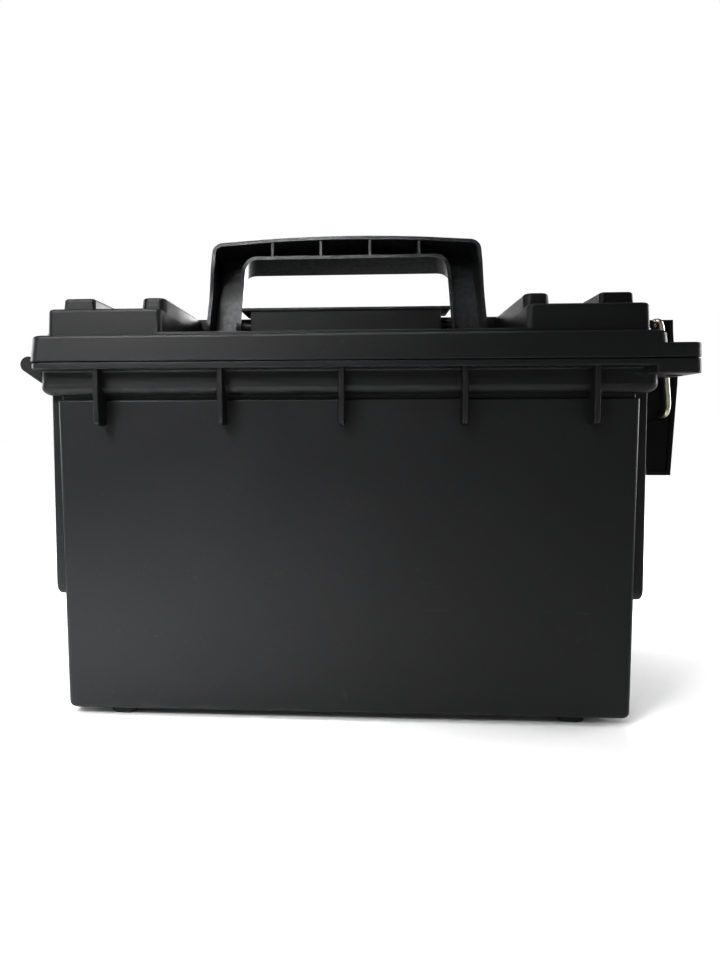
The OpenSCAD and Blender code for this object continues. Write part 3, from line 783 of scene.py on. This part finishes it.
def wear_material(ob, mat):
    ob.data.materials.clear()
    ob.data.materials.append(mat)


for ob, mat, body, node, slot in (
        (tub, M_TUB, "tub", "tub", "tub_plastic"),
        (lid, M_LID, "lid", "lid", "lid_plastic"),
        (handle, M_HANDLE, "handle", "carry_handle", "handle_plastic"),
        (bail, M_WIRE, "bail", "latch_bail", "bail_wire"),
        (lever, M_LEVER_SHADED, "lever", "latch_lever", "lever_plastic"),
        (seal, M_RUB, "lid", "lid_seal", "seal_rubber")):
    wear_material(ob, mat)
    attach(ob, body)
    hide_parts(node)

for n in ("hinge_pin", "handle_pin_left", "handle_pin_right"):
    o = frame["nodes"][n]
    for s in o.material_slots:
        s.material = M_PIN

# ------------------------------------------------------------------ floor, camera, light
fm = bpy.data.materials.new("floor_pale_glowing")
nt, b = nodes_of(fm)
b.inputs["Base Color"].default_value = (0.86, 0.86, 0.86, 1)
b.inputs["Roughness"].default_value = 0.9
b.inputs["Specular IOR Level"].default_value = 0.1
# painted light: the floor glows, faintly in front of the case and rising to nearly full strength further off and
# behind it, so it reads white beyond the case while the front wall reflects little of it
b.inputs["Emission Color"].default_value = (1, 1, 1, 1)
glow_distance = nt.nodes.new("ShaderNodeVectorMath")
glow_distance.operation = "LENGTH"
shifted = nt.nodes.new("ShaderNodeVectorMath")
shifted.inputs[1].default_value = (0.0, 0.33, 0.0)
nt.links.new(nt.nodes.new("ShaderNodeTexCoord").outputs["Object"], shifted.inputs[0])
nt.links.new(shifted.outputs[0], glow_distance.inputs[0])
apart = nt.nodes.new("ShaderNodeSeparateXYZ")
nt.links.new(shifted.outputs[0], apart.inputs[0])
glow_behind = ramp(nt, apart.outputs[1], 0.34, 0.48, 0.0, 0.72)
nt.links.new(math_node(nt, "MAXIMUM", glow_behind, ramp(nt, glow_distance.outputs["Value"], 0.30, 0.80, 0.03, 0.96)), b.inputs["Emission Strength"])
bpy.ops.mesh.primitive_plane_add(size=12, location=(0, 0, 0))
floor = bpy.context.object
floor.name = "floor"
floor.data.materials.append(fm)

cam_data = bpy.data.cameras.new("camera")
cam = bpy.data.objects.new("camera", cam_data)
bpy.context.collection.objects.link(cam)
right = Vector((0.99825045, 0.05908826, -0.0021482))
down = Vector((-0.00222599, 0.00125082, -0.99999674))
fwd = Vector((-0.05908538, 0.99825198, 0.00138016))
rot = Matrix((right, -down, -fwd)).transposed()
cam.matrix_world = Matrix.Translation(((10.17 + SH) / 1000, -0.39752, 0.14075)) @ rot.to_4x4()
cam_data.sensor_fit = "AUTO"
cam_data.sensor_width = 36
cam_data.lens = 704.3 / 960 * 36
cam_data.shift_x = (360 - 322.2) / 960
cam_data.shift_y = (424.6 - 480) / 960
cam_data.clip_start = 0.01
bpy.context.scene.camera = cam

world = bpy.data.worlds.new("studio")
bpy.context.scene.world = world
world.use_nodes = True
wt = world.node_tree
bg = wt.nodes["Background"]
# soft surroundings: a dim room with paler right and back; the backdrop itself is plain white
heading = wt.nodes.new("ShaderNodeTexCoord").outputs["Generated"]
sep = wt.nodes.new("ShaderNodeSeparateXYZ")
wt.links.new(heading, sep.inputs[0])


def lobe(out, sign, power, level):
    v = math_node(wt, "MAXIMUM", math_node(wt, "MULTIPLY", out, sign), 0.0)
    return math_node(wt, "MULTIPLY", math_node(wt, "POWER", v, power), level)


room = math_node(wt, "ADD", lobe(sep.outputs[0], 1, 4, 0.30), lobe(sep.outputs[1], 1, 2, 0.10))
room = math_node(wt, "ADD", room, 0.008)
level = wt.nodes.new("ShaderNodeMix")
wt.links.new(wt.nodes.new("ShaderNodeLightPath").outputs["Is Camera Ray"], level.inputs[0])
wt.links.new(room, level.inputs[2])
level.inputs[3].default_value = 1.0
bg.inputs["Color"].default_value = (1.0, 1.0, 1.0, 1)
wt.links.new(level.outputs[0], bg.inputs["Strength"])
bpy.context.scene.view_settings.view_transform = "Standard"
bpy.context.scene.view_settings.gamma = 0.714


def area(name, loc, target, size, power, size_y=None, colour=(1, 1, 1)):
    ld = bpy.data.lights.new(name, "AREA")
    ld.energy = power
    ld.color = colour
    ld.shape = "RECTANGLE"
    ld.size = size
    ld.size_y = size_y or size
    lo = bpy.data.objects.new(name, ld)
    bpy.context.collection.objects.link(lo)
    lo.location = loc
    d = Vector(target) - Vector(loc)
    lo.rotation_euler = d.to_track_quat("-Z", "Y").to_euler()
    return lo


area("table", (-0.30, -0.50, 0.45), (-0.14, -0.10, 0.0), 0.2, 0.80).data.spread = math.radians(70)
area("side", (-0.9, -0.8, 0.25), (-0.05, 0, 0.1), 0.5, 1.0)
area("front", (-0.2, -1.0, 0.85), (0, 0, 0.18), 0.45, 1.8)
area("pool", (-0.19, -0.26, 0.8), (-0.19, -0.24, 0), 0.12, 0.70).data.spread = math.radians(36)
area("poolb", (0.02, -0.30, 0.8), (0.02, -0.28, 0), 0.2, 0.40).data.spread = math.radians(50)
area("grip", (-0.10, -0.70, 0.90), (-0.03, 0, 0.215), 0.12, 0.05).data.spread = math.radians(13)
area("over", (0, 0.5, 2.2), (0, 0.5, 0), 2.4, 6.5)
area("back", (0.5, 1.1, 0.9), (0, 0, 0.12), 0.7, 3.5)
area("rear", (0.2, 1.0, 0.24), (0, 0.08, 0.10), 0.5, 2.0).data.spread = math.radians(70)
area("right", (0.95, 0.22, 0.28), (0.15, 0.02, 0.10), 0.45, 1.4).data.spread = math.radians(70)
area("left", (-0.95, 0.25, 0.28), (-0.15, 0.02, 0.10), 0.45, 1.0).data.spread = math.radians(70)
